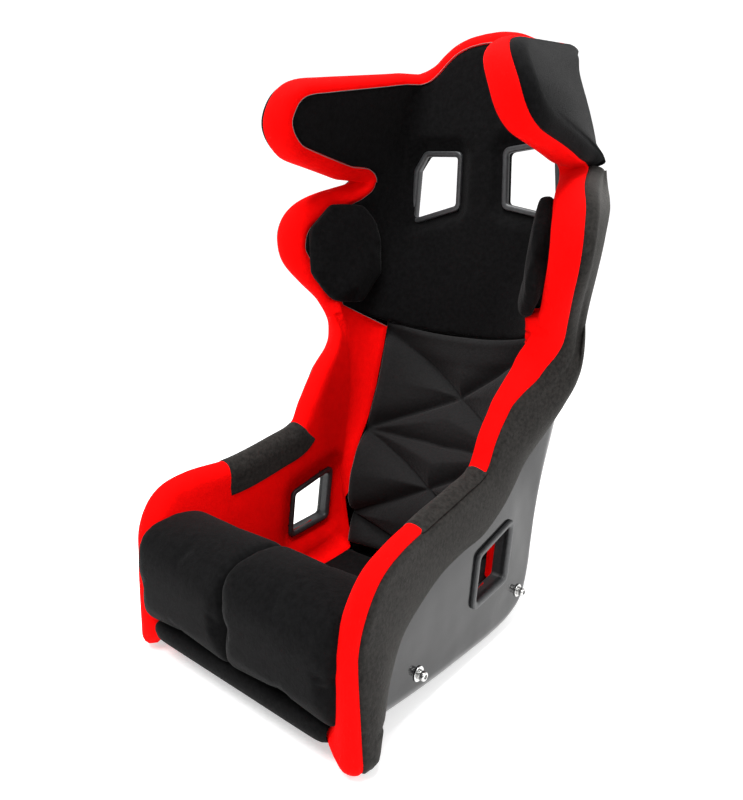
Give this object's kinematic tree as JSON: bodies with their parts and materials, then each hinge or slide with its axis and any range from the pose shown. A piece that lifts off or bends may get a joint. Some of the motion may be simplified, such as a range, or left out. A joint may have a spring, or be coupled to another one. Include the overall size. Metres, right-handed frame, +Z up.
{
  "type": "racing seat",
  "caption": "Fixed-back bucket racing seat with head and shoulder wings, harness slots, removable cushions and side-mount bolts.",
  "frame": {"origin": "centre of the bottom of the bounding box, on the floor under the seat", "axes": "+Z up, the seat faces -Y, +X is the seat's left side as the driver sits"},
  "size_m": [0.6058, 0.663, 0.9931],
  "materials": {
    "shell_gloss": "gloss black laminate with a clear gel coat",
    "red_knit": "red knitted fabric over foam",
    "black_velour": "black velour over foam",
    "black_mesh": "black quilted spacer fabric",
    "grey_suede": "dark grey suede-like wear fabric",
    "bezel_plastic": "satin black moulded plastic",
    "zinc_steel": "bright zinc-plated steel",
    "insert_steel": "plain steel threaded insert"
  },
  "bodies": {
    "seat": {"body_rim_left": "red_knit", "body_rim_right": "red_knit", "bolt_front_left": "zinc_steel", "bolt_front_right": "zinc_steel", "bolt_rear_left": "zinc_steel", "bolt_rear_right": "zinc_steel", "crotch_bezel": "bezel_plastic", "elbow_patch_left": "grey_suede", "elbow_patch_right": "grey_suede", "front_strip": "black_velour", "head_rim": "red_knit", "head_side_cover_left": "black_velour", "head_side_cover_right": "black_velour", "insert_front_left": "insert_steel", "insert_front_right": "insert_steel", "insert_rear_left": "insert_steel", "insert_rear_right": "insert_steel", "lap_bezel_inner_left": "bezel_plastic", "lap_bezel_inner_right": "bezel_plastic", "lap_bezel_outer_left": "bezel_plastic", "lap_bezel_outer_right": "bezel_plastic", "outer_band_left": "grey_suede", "outer_band_right": "grey_suede", "seat_base_pad": "black_velour", "shell": "shell_gloss", "shoulder_bezel_front_left": "bezel_plastic", "shoulder_bezel_front_right": "bezel_plastic", "shoulder_bezel_rear_left": "bezel_plastic", "shoulder_bezel_rear_right": "bezel_plastic", "side_cover_left": "red_knit", "side_cover_right": "red_knit", "spring_washer_front_left": "zinc_steel", "spring_washer_front_right": "zinc_steel", "spring_washer_rear_left": "zinc_steel", "spring_washer_rear_right": "zinc_steel", "thigh_rim_left": "red_knit", "thigh_rim_right": "red_knit", "upper_back_cover": "black_velour", "washer_front_left": "zinc_steel", "washer_front_right": "zinc_steel", "washer_rear_left": "zinc_steel", "washer_rear_right": "zinc_steel"},
    "thigh_cushion_left": {"thigh_cushion_left": "black_velour"},
    "thigh_cushion_right": {"thigh_cushion_right": "black_velour"},
    "lumbar_cushion": {"lumbar_cushion": "black_mesh"},
    "shoulder_pad_left": {"shoulder_pad_left": "black_velour"},
    "shoulder_pad_right": {"shoulder_pad_right": "black_velour"}
  },
  "joints": [
    {"name": "thigh_cushion_left_lift", "type": "slide", "parent": "seat", "child": "thigh_cushion_left", "axis": [0, 0, 1], "range_m": [0, 0.06]},
    {"name": "thigh_cushion_right_lift", "type": "slide", "parent": "seat", "child": "thigh_cushion_right", "axis": [0, 0, 1], "range_m": [0, 0.06]},
    {"name": "lumbar_cushion_lift", "type": "slide", "parent": "seat", "child": "lumbar_cushion", "axis": [0, -0.9308, 0.3656], "range_m": [0, 0.03]},
    {"name": "shoulder_pad_left_lift", "type": "slide", "parent": "seat", "child": "shoulder_pad_left", "axis": [-0.947, -0.3205, -0.022], "range_m": [0, 0.03]},
    {"name": "shoulder_pad_right_lift", "type": "slide", "parent": "seat", "child": "shoulder_pad_right", "axis": [0.947, -0.3205, -0.022], "range_m": [0, 0.03]}
  ]
}
